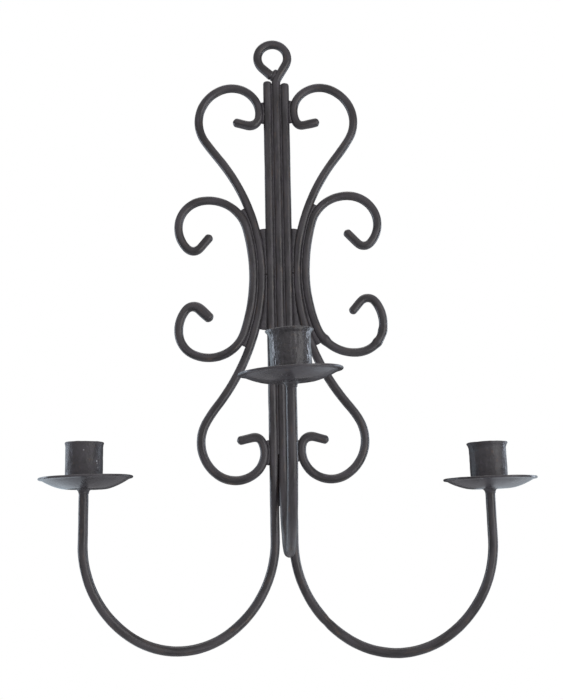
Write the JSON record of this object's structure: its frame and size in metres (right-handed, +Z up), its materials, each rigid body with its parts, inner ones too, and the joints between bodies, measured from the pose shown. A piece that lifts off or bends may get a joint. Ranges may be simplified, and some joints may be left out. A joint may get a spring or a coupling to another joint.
{
  "type": "wall sconce candle holder",
  "caption": "Wall sconce of forged round iron bar: a hanging eye, scrolls beside a stem, and arms that each hold a drip pan and a taper candle cup.",
  "frame": {"origin": "centre of the hanging eye", "axes": "+Z up, +X to the right of someone facing the wall, +Y into the wall"},
  "size_m": [0.3257, 0.152, 0.4406],
  "materials": {
    "iron_bar": "satin black paint over forged bar",
    "sheet_iron": "thick satin black paint over sheet",
    "weld": "painted weld bead"
  },
  "bodies": {
    "root": {"centre_bar": "iron_bar", "left_bar": "iron_bar", "right_bar": "iron_bar", "left_long_scroll": "iron_bar", "right_long_scroll": "iron_bar", "left_c_scroll": "iron_bar", "right_c_scroll": "iron_bar", "left_drip_pan": "sheet_iron", "centre_drip_pan": "sheet_iron", "right_drip_pan": "sheet_iron", "left_candle_cup": "sheet_iron", "centre_candle_cup": "sheet_iron", "right_candle_cup": "sheet_iron", "left_pan_weld": "weld", "centre_pan_weld": "weld", "right_pan_weld": "weld", "left_cup_tacks": "weld", "centre_cup_tacks": "weld", "right_cup_tacks": "weld", "eye_weld": "weld", "stem_welds": "weld", "long_scroll_welds": "weld", "c_scroll_welds": "weld"}
  },
  "joints": []
}
